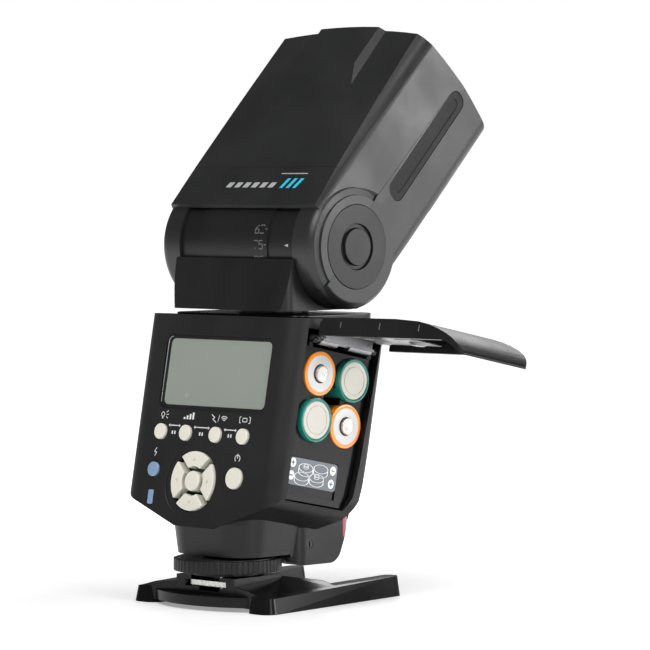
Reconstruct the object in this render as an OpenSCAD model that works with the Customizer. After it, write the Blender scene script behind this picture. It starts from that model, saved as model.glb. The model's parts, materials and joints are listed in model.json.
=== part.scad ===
// Speedlight flash on a mini stand: head raised 45 degrees, battery door open.
// Millimetres. +X to the battery side, +Y the way the flash shoots, +Z up.
// z = 0 is the table; the origin lies under the shoe centre of the mini stand.

/* [Body] */
// width of the body from the port side to the battery side
body_w = 73.5; // [60:0.1:80]
// depth of the body at its top, square to the control panel
body_d = 42.3; // [36:0.1:50]
// forward lean of the body
lean = 11; // [0:0.5:15]
// height of the body top above the table
top_z = 95.6; // [85:0.1:110]
// wall thickness of the housings
wall = 2.2; // [1.5:0.1:3]

/* [Stand and foot] */
// length of one stand leg
leg_l = 72.4; // [50:0.1:100]
// height of a stand leg
leg_h = 5.1; // [4:0.1:9]
// width of the shoe foot (ISO 518)
foot_w = 18.6; // [18:0.1:19]
// length of the shoe foot
foot_l = 18; // [16:0.1:20]
// thickness of the shoe foot
foot_t = 2; // [1.8:0.05:2.1]
// radius of the locking wheel
wheel_r = 18; // [15:0.5:20]
// grip ribs round the wheel
wheel_ribs = 60; // [30:2:72]

/* [Head] */
// height of the tilt axis above the table
tilt_z = 119; // [110:0.5:130]
// how far the tilt axis lies in front of the shoe centre
tilt_y = 24.4; // [20:0.1:30]
// angle of the head above the horizon
tilt = 45; // [-7:1:90]
// width of the head
head_w = 72; // [60:0.5:80]
// radius of the side discs
cheek_r = 20.7; // [18:0.1:24]
// radius of the barrel between the side discs
barrel_r = 20; // [16:0.1:20.2]
// length of the head from the tilt axis to its front
head_l = 79.2; // [60:0.1:90]

/* [Battery bay] */
// diameter of an AA cell
cell_d = 14.5; // [13.5:0.1:14.5]
// length of an AA cell
cell_l = 50.5; // [49.2:0.1:50.5]
// distance between neighbouring cells
cell_p = 15.3; // [14.9:0.1:17]
// outside depth of the battery door
door_d = 5.7; // [4:0.1:8]

/* [Hidden] */

x_l = -40.1;             // port side of the body
x_r = x_l + body_w;    // battery side of the body
y_b = -23;             // control panel plane in the leaning frame
y_f = y_b + body_d;    // front of the body top in the leaning frame
cap_x = 33;            // hinge pin of the door
cap_z = -11.3;
bay_y = -1.4;          // middle of the four cells
bay_z = -29.7;
pan_y = 22;            // pan axis
btn_out = 0.9;         // buttons stand out of the panel
pad_x = -6; pad_z = -61.5;
bx1 = [-24.4, -12.6, 1.4, 14.1]; // the four function buttons
bz1 = -45.7;

module leaned() translate([0, 24.4, 97.5]) rotate([-lean, 0, 0]) children();
module headed() translate([0, tilt_y, tilt_z]) rotate([tilt, 0, 0]) children();
// box by two corners
module bx(a, b) translate(a) cube(b - a);
// plate with true round corners, drawn in the XY plane
module rrect(x0, x1, y0, y1, r) {
  translate([x0 + r, y0]) square([x1 - x0 - 2*r, y1 - y0]);
  translate([x0, y0 + r]) square([x1 - x0, y1 - y0 - 2*r]);
  for (x = [x0 + r, x1 - r], y = [y0 + r, y1 - r]) translate([x, y]) circle(r, $fn = 64);
}
// extrude an XZ drawing along +Y from y0 to y1
module along_y(y0, y1) translate([0, y1, 0]) rotate([90, 0, 0]) linear_extrude(y1 - y0) children();
// extrude a YZ drawing along +X from x0 to x1
module along_x(x0, x1) translate([x0, 0, 0]) rotate([90, 0, 90]) linear_extrude(x1 - x0) children();
module rod_x(x0, x1, y, z, r) translate([x0, y, z]) rotate([0, 90, 0]) cylinder(r = r, h = x1 - x0, $fn = 64);
module rod_y(x, z, r, y0, y1) translate([x, y0, z]) rotate([-90, 0, 0]) cylinder(r = r, h = y1 - y0, $fn = 64);
function arc(cx, cy, r, a0, a1, n) = [for (i = [0:n]) [cx + r*cos(a0 + (a1 - a0)*i/n), cy + r*sin(a0 + (a1 - a0)*i/n)]];

// ---------------------------------------------------------------- mini stand
module leg(s) {
  hull() {
    translate([s*25.4, -8.4, 0]) cylinder(r1 = 4.4, r2 = 3.4, h = leg_h + 0.6, $fn = 32);
    translate([s*28.2, -8.6, 0]) cylinder(r1 = 4.2, r2 = 3.2, h = leg_h, $fn = 32);
    translate([s*22.0, leg_l - 16, 0]) cylinder(r1 = 3.8, r2 = 2.9, h = leg_h + 1.7, $fn = 32);
  }
  // shoulder rising to the shoe
  hull() {
    translate([s*13.6, -9.0, 1.5]) cylinder(r = 1.3, h = 6.4, $fn = 24);
    translate([s*13.6, 12.6, 1.5]) cylinder(r = 1.3, h = 8.1, $fn = 24);
    translate([s*21.6, -9.2, 1.2]) cylinder(r = 2, h = 5.8, $fn = 24);
    translate([s*28.2, -8.6, 1.2]) cylinder(r = 3, h = leg_h - 1.3, $fn = 32);
    translate([s*19.4, 24, 1.2]) cylinder(r = 2, h = 6.4, $fn = 24);
    translate([s*25.2, 24, 1.2]) cylinder(r = 3, h = 4.6, $fn = 32);
  }
}
module stand() color([0.03, 0.03, 0.03]) difference() {
  union() {
    translate([-1.2, 0, 0]) {
      leg(-1); leg(1);
      // web with a bowed rear edge and a hollow front edge
      translate([0, 0, 1.5]) linear_extrude(3.3) polygon(concat(
        arc(0, 21.75, 39.75, 238, 302, 24),
        [[25, -6], [23, 26]],
        arc(0, 40.5, 23, 325, 215, 20),
        [[-23, 26], [-25, -6]]));
    }
    // boss of the tripod thread
    cylinder(r = 5.6, h = 4.7, $fn = 64);
    // shoe rails with inward lips
    for (s = [-1, 1]) bx([s > 0 ? 9.5 : -13.6, -10.5, 4.5], [s > 0 ? 13.6 : -9.5, 11.5, 10.4]);
    for (s = [-1, 1]) bx([s > 0 ? 6.6 : -13.6, -10.5, 9.0], [s > 0 ? 13.6 : -6.6, 11.5, 10.4]);
    bx([-13.6, 9.3, 4.5], [13.6, 11.5, 9.1]);
    bx([-9.6, -10.5, 4.5], [9.6, 11.5, 6.85]);
  }
  // thread for a tripod screw
  translate([0, 0, -1]) cylinder(r = 2.55, h = 6.2, $fn = 48);
  // channel for the contact and the locking pin
  bx([-3, -11, 5.7], [6.6, 3.5, 7.2]);
}
module foot_plate() color([0.78, 0.78, 0.76]) difference() {
  translate([0, 0, 6.9]) linear_extrude(foot_t) rrect(-foot_w/2, foot_w/2, -foot_l/2, foot_l/2, 1);
  translate([5, -7.3, 6]) cylinder(r = 1.2, h = 4, $fn = 32);
  translate([0, 0, 6]) cylinder(r = 2.2, h = 4, $fn = 32);
}
module centre_contact() color([0.85, 0.7, 0.35]) union() {
  translate([0, 0, 6.5]) cylinder(r = 1.1, h = 1, $fn = 32);
  translate([0, 0, 7.4]) cylinder(r = 2.1, h = 1.4, $fn = 32);
}
module foot_pedestal() color([0.03, 0.03, 0.03]) difference() {
  union() {
    translate([0, 0, 8.92]) cylinder(r = 6.1, h = 8.4, $fn = 64);
    translate([0, 0, 16.7]) cylinder(r = 8.6, h = 0.58, $fn = 64);
    translate([0, 0, 17]) cylinder(r = 6.1, h = 4, $fn = 64);
  }
  // passage of the locking pin
  bx([3.7, -8.6, 8], [6.3, -3.0, 16.6]);
}
module lock_pin() color([0.8, 0.8, 0.78]) translate([5, -7.3, 5.95]) cylinder(r = 0.9, h = 4.6, $fn = 32);
module clamp_plate() color([0.05, 0.05, 0.05]) difference() {
  translate([0, 0, 10.55]) cylinder(r = 12.2, h = 0.9, $fn = 64);
  translate([0, 0, 10]) cylinder(r = 6.4, h = 2, $fn = 64);
  bx([3.7, -8.6, 10], [6.5, -3.0, 12]);
}
module lock_wheel() color([0.05, 0.05, 0.05]) difference() {
  union() {
    translate([0, 0, 12.0]) linear_extrude(4.0) difference() {
      circle(wheel_r, $fn = 128);
      for (i = [0:wheel_ribs - 1]) rotate(i*360/wheel_ribs) translate([wheel_r + 0.28, 0]) circle(0.62, $fn = 8);
    }
    translate([0, 0, 16.0]) cylinder(r = wheel_r - 1.4, h = 0.4, $fn = 96);
  }
  translate([0, 0, 11]) cylinder(r = 6.15, h = 7, $fn = 64);
}

// ---------------------------------------------------------------- body
module body_plan(t) {
  translate([x_l + 8, y_b + t]) square([body_w - 16, 30]);
  translate([x_l + t, y_b + 8]) square([body_w - 2*t, y_f - y_b - 12]);
  translate([x_l + 4, y_f - 20]) square([body_w - 8, 20 - t]);
  for (x = [x_l + 8, x_r - 8]) translate([x, y_b + 8]) circle(8 - t, $fn = 64);
  for (x = [x_l + 4, x_r - 4]) translate([x, y_f - 4]) circle(4 - t, $fn = 64);
}
module body_side(t) polygon([[-30, 12], [-30, -90], [5, -90], [10.5 - t, -76.9 + t], [13.0 - t, -66.3], [15.5 - t, -61], [16.5 - t, -55.6], [17 - t, -50],
  [18 - t, -38], [18.8 - t, -20], [y_f - t, -2], [y_f - t, 12]]);
module body_front(t) {
  r = 9 - t;
  translate([x_l + t, -60.3]) square([body_w - 2*t, 77.3]);
  for (x = [x_l + 9, x_r - 9]) translate([x, -60.3]) circle(r, $fn = 96);
  // lower edges rise 20 degrees towards the corners
  polygon([[x_l + 9 - r*sin(20), -60.3 - r*cos(20)], [x_l + 27.47 + 0.176*t, -76.6 + t], [x_r - 27.47 - 0.176*t, -76.6 + t],
    [x_r - 9 + r*sin(20), -60.3 - r*cos(20)], [x_r - 9, -60.2], [x_l + 9, -60.2]]);
}
// the top falls slightly towards the front
function top_at(y) = top_z + 0.6 - 0.045*y;
module body_solid(t) intersection() {
  leaned() translate([0, 0, -90]) linear_extrude(105) body_plan(t);
  leaned() along_x(-50, 50) body_side(t);
  leaned() along_y(-40, 40) body_front(t);
  along_x(-50, 50) polygon([[-60, 0], [80, 0], [80, top_at(80) - t], [-60, top_at(-60) - t]]);
}
module bay_cut() leaned() along_x(x_r - 4, x_r + 3) polygon([[bay_y - 16.8, -65], [9.6, -65], [12.4, -60], [13.6, -50], [15.6, -20], [16.6, -8.2], [bay_y - 16.8, -8.2]]);
module button_holes() leaned() {
  for (x = bx1) rod_y(x, bz1, 2.95, -26, -19);
  rod_y(-25.5, -58.5, 2.8, -26, -19);
  rod_y(12.8, -59.6, 3.85, -26, -19);
  rod_y(pad_x, pad_z, 10.3, -26, -19);
}
module rear_housing() color([0.07, 0.07, 0.07]) difference() {
  body_solid(0);
  body_solid(wall);
  leaned() bx([-60, 6, -120], [60, 60, 60]);
  bay_cut();
  button_holes();
  // display opening and its shallow surround
  leaned() along_y(-26, -19) rrect(-26.1, 21.3, -36.5, -13.8, 2);
  leaned() along_y(-26, -22.3) rrect(-27.5, 22.6, -37.8, -12.6, 3);
  leaned() along_y(-26, -19) rrect(-26.7, -24.1, -70.3, -65.3, 0.6);
  // ports in the far side
  leaned() bx([x_l - 2, -9.5, -50.5], [x_l + 1.2, 3.5, -27.5]);
  leaned() rod_x(x_l - 2, x_l + 5, -3, -33, 3.1);
  leaned() rod_x(x_l - 2, x_l + 5, -3, -43, 3.1);
  translate([0, pan_y, 90]) cylinder(r = 12, h = 10, $fn = 96);
}
// upright nose of the front housing above the sensor window
module chin() intersection() {
  translate([0, 0, 34.05]) linear_extrude(40) rrect(-19.4, 19.4, 5, 40.8, 6);
  along_x(-30, 30) polygon([[24, 30], [40.8, 30], [40.8, 40], [40.4, 52], [39.4, 64], [37.6, 72], [33, 76], [29, 76]]);
}
module front_housing() color([0.06, 0.06, 0.06]) difference() {
  union() { body_solid(0); chin(); }
  body_solid(wall);
  leaned() bx([-60, -80, -120], [60, 6.05, 60]);
  bay_cut();
  translate([0, pan_y, 90]) cylinder(r = 12, h = 10, $fn = 96);
  minus_base_top();
}
module minus_base_top() bx([-60, -60, 0], [60, 80, 23]);
module top_plateau() color([0.06, 0.06, 0.06]) difference() {
  intersection() {
    translate([0, 0, 90]) linear_extrude(top_z - 88.9) rrect(-30.5, 29.5, 3.2, 41.8, 6);
    along_x(-40, 40) polygon([[-5, top_at(-5) + 0.02], [50, top_at(50) + 0.02], [50, 110], [-5, 110]]);
  }
  translate([0, pan_y, 90]) cylinder(r = 12, h = 10, $fn = 96);
}
// tapered block with rounded corners: radii and reach grow from the bottom to the top
module taper(cx, cy0, cy1, r0, r1, z0, z1) {
  for (x = [-cx, cx], y = [cy0, cy1]) translate([x, y, z0]) cylinder(r1 = r0, r2 = r1, h = z1 - z0, $fn = 96);
  intersection() {
    along_x(-cx, cx) polygon([[cy0 - r0, z0], [cy1 + r0, z0], [cy1 + r1, z1], [cy0 - r1, z1]]);
    bx([-cx, cy0 - 40, z0], [cx, cy1 + 40, z1]);
  }
  along_y(cy0, cy1) polygon([[-cx - r0, z0], [cx + r0, z0], [cx + r1, z1], [-cx - r1, z1]]);
}
module base_side(t) polygon(concat([[-30, 17.3 + t], [10, 17.3 + t]],
   arc(16.6, 19.2, 6.0 - t, 198, 262, 6), arc(28.6, 19.2, 6.1 - t, 275, 345, 8),
   [[36.3 - t, 21.5], [38.4 - t, 26.9], [40.6 - t, 32], [40.8 - t, 40 - t], [-30, 40 - t]]));
module base_solid(t) intersection() {
  union() {
    taper(8, -0.8, 10, 10.2 - t, 11.7 - t, 16.3, 28.3);
    translate([0, 0, 28.2]) linear_extrude(11.8) rrect(-19.7 + t, 19.7 - t, -12.5 + t, 24, 11.7 - t);
    translate([0, 0, 5]) linear_extrude(40) rrect(-19.4 + t, 19.4 - t, 12, 40.8 - t, 6);
  }
  union() {
    translate([0, 0, 5]) linear_extrude(40) rrect(-20.6 + t, 20.6 - t, -13.4 + t, 41.8 - t, 8 - t);
  }
  along_x(-30, 30) base_side(t);
  leaned() bx([-60, y_b + 0.1 + t, -140], [60, 80, 60]);
  bx([-40, -40, 0], [40, 60, 34]);
}
module base_housing() color([0.05, 0.05, 0.05]) difference() {
  base_solid(0);
  difference() {
    base_solid(2.2);
    translate([0, 0, 8]) cylinder(r = wheel_r + 3.3, h = 11.5, $fn = 96);
  }
  // seat of the body on the base
  body_cover();
  // room for the wheel
  translate([0, 0, 8]) cylinder(r = wheel_r + 1.1, h = 9.3, $fn = 96);
  translate([0, 0, 10]) cylinder(r = 6.15, h = 10, $fn = 64);
  // sensor window opening
  bx([-13.2, 31.6, 19.2], [13.2, 44, 25.6]);
  // screw seats
  for (s = [-1, 1]) rod_x(s > 0 ? 15 : -26, s > 0 ? 26 : -15, 19, 20.2, 1.6);
}
// everything the body occupies, walls and inside, above the base
module body_cover() union() {
  intersection() { body_solid(-0.05); bx([-60, -60, 22.95], [60, 80, 120]); }
  intersection() { body_solid(-0.05); leaned() bx([-60, -60, -120], [60, 6.03, 60]); }
}
module sensor_window() color([0.5, 0.02, 0.04]) along_x(-13.1, 13.1) polygon([[33.9, 19.3], [35.0, 19.3], [37.1, 25.5], [35.8, 25.5]]);
module base_screws() color([0.6, 0.6, 0.6]) for (s = [-1, 1]) difference() {
  rod_x(s > 0 ? 15.2 : -19.3, s > 0 ? 19.3 : -15.2, 19, 20.2, 1.5);
  bx([s > 0 ? 18.7 : -20, 18.75, 19.2], [s > 0 ? 20 : -18.7, 19.25, 21.2]);
}

// ---------------------------------------------------------------- control panel
module lcd_window() color([0.5, 0.53, 0.5]) leaned() along_y(-22.1, -20.9) rrect(-26.0, 21.2, -36.4, -13.9, 2);
module lcd_module() color([0.35, 0.38, 0.36]) leaned() bx([-28, -20.7, -38.8], [23.4, -19.2, -12.2]);
module status_lamp() color([0.45, 0.55, 0.68]) leaned() along_y(-23.2, -19.6) rrect(-26.6, -24.2, -70.2, -65.4, 0.5);
module control_board() color([0.05, 0.3, 0.15]) leaned() bx([-29, -18.9, -65], [24, -17.6, -11.5]);
module key(x, z, r) color([0.9, 0.89, 0.82]) leaned() union() {
  rod_y(x, z, r, y_b - btn_out, -19.9);
  rod_y(x, z, r + 0.7, -20.6, -19.9);
}
module button_1() key(bx1[0], bz1, 2.65);
module button_2() key(bx1[1], bz1, 2.65);
module button_3() key(bx1[2], bz1, 2.65);
module button_4() key(bx1[3], bz1, 2.65);
module button_pilot() color([0.45, 0.55, 0.68]) leaned() union() { rod_y(-25.5, -58.5, 2.5, -23.7, -19.9); rod_y(-25.5, -58.5, 3.2, -20.6, -19.9); }
module button_power() key(12.8, -59.6, 3.55);
module button_ok() color([0.9, 0.89, 0.82]) leaned() rod_y(pad_x, pad_z, 3.35, -24.1, -19.9);
module pad(a) color([0.9, 0.89, 0.82]) leaned() translate([pad_x, 0, pad_z]) rotate([0, a, 0]) difference() {
  union() { rod_y(0, 0, 9.95, -23.9, -19.9); rod_y(0, 0, 10.9, -20.6, -19.9); }
  rod_y(0, 0, 4.9, -30, -10);
  for (s = [-1, 1]) rotate([0, s*45, 0]) bx([-15, -30, -20], [15, -10, 1.1]);
}
module pad_up() pad(0);
module pad_right() pad(90);
module pad_down() pad(180);
module pad_left() pad(270);

// ---------------------------------------------------------------- battery bay
module cells_at(list) leaned() for (c = list) translate([0, bay_y + c[0]*cell_p/2, bay_z + c[1]*cell_p/2]) {
  x0 = c[2] > 0 ? -17.6 : -16.6;
  if (c[2] > 0) {   // button end outwards
    rod_x(x0, x0 + cell_l - 1.2, 0, 0, cell_d/2);
    rod_x(x0 + cell_l - 1.25, x0 + cell_l, 0, 0, 2.7);
  } else {
    rod_x(x0, x0 + cell_l - 1.2, 0, 0, cell_d/2);
    rod_x(x0 - 1.2, x0 + 0.05, 0, 0, 2.7);
  }
}
module cells_orange() color([0.95, 0.5, 0.08]) cells_at([[-1, 1, 1], [1, -1, 1]]);
module cells_green() color([0.05, 0.42, 0.36]) cells_at([[1, 1, 0], [-1, -1, 0]]);
module battery_cage() color([0.05, 0.05, 0.05]) leaned() difference() {
  union() {
    bx([-22, bay_y - 15.8, -45.6], [31.2, bay_y + 15.8, -13.8]);
    along_x(29.4, 31.2) polygon([[bay_y - 16.6, -64.4], [9.0, -64.4], [12.0, -60], [13.3, -50], [13.6, -45.5], [bay_y - 16.6, -45.5]]);
    for (y = [-16.6, 11.6]) {
      bx([30.2, y, -13.9], [32.2, y + 2, -11.3]);
      rod_y(cap_x, cap_z, 1.4, y, y + 2);
      bx([31.6, y, -12.4], [33, y + 2, -10.4]);
    }
  }
  for (i = [-1, 1], j = [-1, 1]) rod_x(-19.6, 40, bay_y + i*cell_p/2, bay_z + j*cell_p/2, 7.45);
  bx([-5, bay_y - 4, bay_z - 4], [40, bay_y + 4, bay_z + 4]);
  bx([30.7, -17.2, -62.2], [33, 5.7, -50.2]);
  for (y = [-16.6, 11.6]) rod_y(cap_x, cap_z, 0.85, y - 1, y + 3);
}
module battery_contacts() color([0.8, 0.75, 0.6]) leaned() for (i = [-1, 1], j = [-1, 1]) {
  translate([-19.55, bay_y + i*cell_p/2, bay_z + j*cell_p/2]) rotate([0, 90, 0]) cylinder(r1 = 5.5, r2 = 4, h = i*j > 0 ? 1.5 : 1.7, $fn = 48);
}
module polarity_label() color([0.4, 0.43, 0.46]) leaned() translate([30.75, 0, 0]) rotate([90, 0, 90]) linear_extrude(0.5) rrect(-17.1, 5.6, -62, -50.4, 1.2);
module hinge_pin() color([0.75, 0.75, 0.75]) leaned() rod_y(cap_x, cap_z, 0.8, -16.8, 13.8);

// ---------------------------------------------------------------- battery door (open)
module door_bracket() color([0.75, 0.74, 0.7]) leaned() difference() {
  union() {
    for (y = [[-13.4, -5], [0.5, 11.2]]) {
      rod_y(cap_x, cap_z, 1.7, y[0], y[1]);
      bx([cap_x, y[0], cap_z - 0.4], [35.5, y[1], cap_z + 0.4]);
    }
    bx([34.7, -12.5, cap_z - 0.4], [35.5, 10.2, -6.6]);
    bx([34.7, -12.5, -7.4], [50, 10.2, -6.6]);
  }
  for (y = [-9, 6.8]) translate([46, y, -9]) cylinder(r = 1.6, h = 4, $fn = 32);
  rod_y(cap_x, cap_z, 0.87, -30, 30);
}
function door_out() = concat([[37.3, -10.5], [37.3, -6.2], [38.8, -4.9], [46, -4.5], [70, -4.3], [80, -4.8]],
   [[84.8, -5.7], [88.6, -6.8], [92, -8.1], [95, -9.6], [97.4, -11.3], [99.4, -13.2], [100.1, -14.1], [99.6, -14.7], [98.2, -14.1]],
   [[95.6, -12.3], [93.0, -11.0], [90.2, -10.4]]);
function door_in() = [[36, -12], [36, -6.4], [80, -6.4], [84.8, -7.3], [88.6, -8.4], [91.4, -9.6], [94.0, -11.1], [90.2, -12.9]];
module door_shell() color([0.06, 0.06, 0.06]) leaned() difference() {
  intersection() {
    along_y(-18, 18) polygon(door_out());
    translate([0, 0, -30]) linear_extrude(40) union() {
      bx2(37, 92, -18, 18);
      bx2(80, 98, -18, 8);
      bx2(80, 101.5, -13.5, 8);
      translate([91.5, 8]) circle(10, $fn = 96);
      translate([97, -13.5]) circle(4.5, $fn = 64);
    }
  }
  along_y(-16.4, 16.4) polygon(door_in());
  bx([36, -14, -12], [40, 11.8, -6.4]);
  // finger notch and rib ticks of the side wall
  for (x = [46.5, 63.5, 80.5]) bx([x, -17.0, -9.6], [x + 0.6, -15, -6.6]);
}
module bx2(x0, x1, y0, y1) translate([x0, y0]) square([x1 - x0, y1 - y0]);
module door_contacts() color([0.8, 0.78, 0.72]) leaned() union() {
  for (y = [[-14.5, -2.4], [-0.6, 12.6]]) bx([39.5, y[0], -8.7], [64, y[1], -8.2]);
  for (y = [-10, 6.5]) bx([54, y, -8.3], [57, y + 3, -6.45]);
  for (x = [43.75, 59.05], y = [-9.05, 6.25]) translate([x, y, -9.6]) cylinder(r1 = 2.2, r2 = 3.6, h = 1, $fn = 48);
}

// ---------------------------------------------------------------- inside the body
module main_capacitor() color([0.08, 0.1, 0.25]) leaned() rod_x(-22.4, 20, -4.4, -56.6, 9.6);
module power_board() color([0.05, 0.3, 0.15]) leaned() union() {
  bx([-29.4, -14, -62], [-28, 11, -16]);
  bx([-28.1, -8, -44], [-23, 4, -33]);
  rod_x(-28.1, -23.5, 7, -52, 4);
}
module sync_socket() color([0.75, 0.75, 0.75]) leaned() difference() {
  union() {
    rod_x(x_l + 0.6, x_l + 5, -3, -33, 2.9);
    rod_x(x_l + 2.4, x_l + 5, -3, -43, 2.9);
    bx([x_l + 3.6, -6, -46], [x_l + 5, 0, -30]);
  }
  rod_x(x_l - 1, x_l + 4.2, -3, -33, 1.75);
  rod_x(x_l - 1, x_l + 4.2, -3, -43, 1.2);
}
module port_cover() color([0.04, 0.04, 0.04]) leaned() difference() {
  union() {
    bx([x_l - 0.5, -9.1, -50.1], [x_l + 0.3, 3.1, -27.9]);
    bx([x_l - 1.0, -1, -50.1], [x_l - 0.4, 2.6, -45]);
  }
  for (z = [-49, -47.6, -46.2]) bx([x_l - 1.2, -0.6, z], [x_l - 0.8, 2.2, z + 0.5]);
}

// ---------------------------------------------------------------- swivel
module pan_shaft() color([0.06, 0.06, 0.06]) translate([0, pan_y, 0]) difference() {
  union() {
    translate([0, 0, 90.4]) cylinder(r = 11.7, h = 7.65, $fn = 96);
    translate([0, 0, 90.4]) cylinder(r = 14, h = 1.4, $fn = 96);
  }
  translate([0, 0, 85]) cylinder(r = 6, h = 20, $fn = 64);
}
module neck_solid(t) intersection() {
  translate([0, 0, 90]) linear_extrude(40) rrect(-27.2 + t, 27.2 - t, -0.2 + t, 48, 4 - t/2);
  along_x(-30, 30) polygon(concat([[-0.2 + t, 98.1 + t], [3.2 + t, 115.2 - t], [42 - t, 112 - t]],
    arc(tilt_y, tilt_z, 23.6 - t, -30, -61, 10), [[35 - t, 98.1 + t]]));
}
module neck_shell() color([0.07, 0.07, 0.07]) difference() {
  neck_solid(0);
  neck_solid(2.4);
  rod_x(-40, 40, tilt_y, tilt_z, barrel_r + 0.02);
  // flanks stay clear of the side discs
  for (s = [-1, 1]) rod_x(s > 0 ? 26.15 : -40, s > 0 ? 40 : -26.15, tilt_y, tilt_z, 21.1);
  for (s = [-1, 1]) bx([s > 0 ? 26.15 : -40, 25, 90], [s > 0 ? 40 : -26.15, 60, 130]);
  translate([0, pan_y, 90]) cylinder(r = 6, h = 12, $fn = 64);
}
module barrel() color([0.05, 0.05, 0.05]) difference() {
  union() {
    rod_x(-26, 26, tilt_y, tilt_z, barrel_r - 0.45);
    rod_x(-18, 14.1, tilt_y, tilt_z, barrel_r);
  }
  rod_x(-30, 30, tilt_y, tilt_z, 7.5);
  // scale dashes
  for (a = [0, 15, 30, 45]) translate([0, tilt_y, tilt_z]) rotate([a + 18, 0, 0]) bx([15, -20.5, -0.18], [22, -barrel_r + 0.75, 0.18]);
}
module tilt_axle() color([0.7, 0.7, 0.7]) difference() {
  union() {
    rod_x(-33.4, 33.4, tilt_y, tilt_z, 7.0);
    rod_x(-25.9, 25.9, tilt_y, tilt_z, 7.45);
  }
  rod_x(-40, 40, tilt_y, tilt_z, 4.5);
}

// ---------------------------------------------------------------- head
module head_side(t) polygon(concat(
  [[-2.6 + t, 21.0], [-2.6 + t, 22.1 - t], [14, 23.2 - t], [45, 24.5 - t], [70, 25.1 - t]],
  [[head_l + 1 - t, 25.2 - t], [head_l + 1 - t, -12]],
  arc(70.6, -15, 6.5 - t, 8, -90, 8),
  [[66, -21.1 + t], [44, -20.3 + t], [36.6, -19.8 + t], [34.4, -18.55 + t], [30, -18.5 + t], [22, -18.4 + t], [10, -17.8 + t], [0, -17.6 + t], [-2.6 + t, 0]]));
// cross-section: widest at the seam, drawn in above and below it
module head_cross(t) {
  for (s = [-1, 1]) {
    translate([s*25.6, 18]) circle(9 - t, $fn = 96);
    translate([s*29.1, -14.5]) circle(6.5 - t, $fn = 96);
  }
  k = 9 - t; q = 6.5 - t;
  polygon([[-36 + t, 0.5], [-25.6 - k*cos(4), 18 + k*sin(4)], [-25.6, 27 - t], [25.6, 27 - t], [25.6 + k*cos(4), 18 + k*sin(4)], [36 - t, 0.5],
    [29.1 + q*cos(3.6), -14.5 - q*sin(3.6)], [29.1, -21 + t], [-29.1, -21 + t], [-29.1 - q*cos(3.6), -14.5 - q*sin(3.6)]]);
}
// bowed front
module head_plan() translate([0, head_l - 180, 4]) sphere(r = 180, $fn = 180);
module cheek_ring(s, t) translate([0, 0, 0]) rotate([0, 90*s, 0]) rotate_extrude($fn = 128)
  polygon(concat([[0, 26.3 + t], [cheek_r - t, 26.3 + t], [cheek_r - t, 32.2]],
     arc(cheek_r - 4, 32.2, 4 - t, 0, 70, 6), [[15.4, 36 - t], [0, 36 - t]]));
module head_solid(t) union() {
  intersection() {
    along_x(-40, 40) head_side(t);
    along_y(-10, 90) head_cross(t);
    head_plan();
  }
  // raised middle of the top edge, over the pull-out panel
  if (t == 0) intersection() {
    along_y(44, 90) polygon([[-19.5, 20], [-13.5, 27.2], [13.5, 27.2], [19.5, 20]]);
    along_x(-20, 20) polygon([[46, 23], [60, 27.2], [85, 27.2], [85, 20], [46, 20]]);
    head_plan();
  }
  for (s = [-1, 1]) cheek_ring(s, t);
}
module above(d) along_x(-60, 60) polygon([[-40, 0.5 + d], [-14, 1.3 + d], [17.2, 4.6 + d], [68.5, 3.1 + d], [72.6, -1.2 + d], [90, -1.8 + d], [90, 60], [-40, 60]]);
module head_room() {
  // barrel, its clearance and the axle
  rod_x(-26.25, 26.25, 0, 0, barrel_r + 0.75);
  rod_x(-38, 38, 0, 0, 7.05);
  rod_x(-38, -34.2, 0, 0, 14.1);
  rod_x(34.2, 38, 0, 0, 14.1);
}
module head_cavity() difference() {
  intersection() {
    union() {
      intersection() { along_x(-40, 40) head_side(2.2); along_y(26.6, 90) head_cross(2.2); }
      bx([-32.2, 60, -17], [32.2, 90, 22.6]);
    }
    bx([-60, 26.6, -60], [60, 200, 60]);
  }
}
// step round the side discs on the upper shell
module disc_step() for (s = [-1, 1]) rotate([0, 90*s, 0]) rotate_extrude($fn = 128)
  polygon([[16.9, 36.5], [17.1, 35.3], [19.2, 34.9], [21.6, 36.5]]);
// room between the discs for the front of the neck
module neck_room() intersection() {
  rod_x(-26.25, 26.25, 0, 0, 24.6);
  bx([-30, -30, -30], [30, 30, -3.5]);
}
module head_upper() color([0.09, 0.09, 0.09]) headed() difference() {
  intersection() { head_solid(0); above(0.05); }
  head_cavity(); head_room();
  along_x(-60, 60) polygon([[14, 40], [14, 21.9], [90, 19.5], [90, 40]]);
  disc_step();
  grip_seats(0.05);
  bezel_seat();
}
module head_top() color([0.03, 0.03, 0.03]) headed() intersection() {
  difference() { head_solid(0); head_cavity(); head_room(); bezel_seat(); }
  along_x(-60, 60) polygon([[14.1, 40], [14.1, 22.0], [90, 19.6], [90, 40]]);
}
module head_lower() color([0.07, 0.07, 0.07]) headed() difference() {
  head_solid(0);
  above(-0.05);
  head_cavity(); head_room(); neck_room();
  grip_seats(0.05);
  bezel_seat();
}
module bezel_seat() along_y(72.5, 120) rrect(-32.8, 32.8, -18.4, 23.6, 3.5);
module grip_seats(t) for (s = [-1, 1]) along_x(s > 0 ? 34.6 - t : -36.45, s > 0 ? 36.45 : -34.6 + t) rrect(23.8 - t, 72.4 + t, -4.6 - t, 2.9 + t, 3.2);
module side_grips() color([0.06, 0.06, 0.06]) headed() for (s = [-1, 1]) difference() {
  along_x(s > 0 ? 34.6 : -35.75, s > 0 ? 35.75 : -34.6) rrect(23.8, 72.4, -4.6, 2.9, 3.15);
  // hollow along the grip
  along_x(s > 0 ? 35.3 : -37, s > 0 ? 37 : -35.3) rrect(26.6, 69.6, -2.6, 0.9, 1.7);
}
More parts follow.
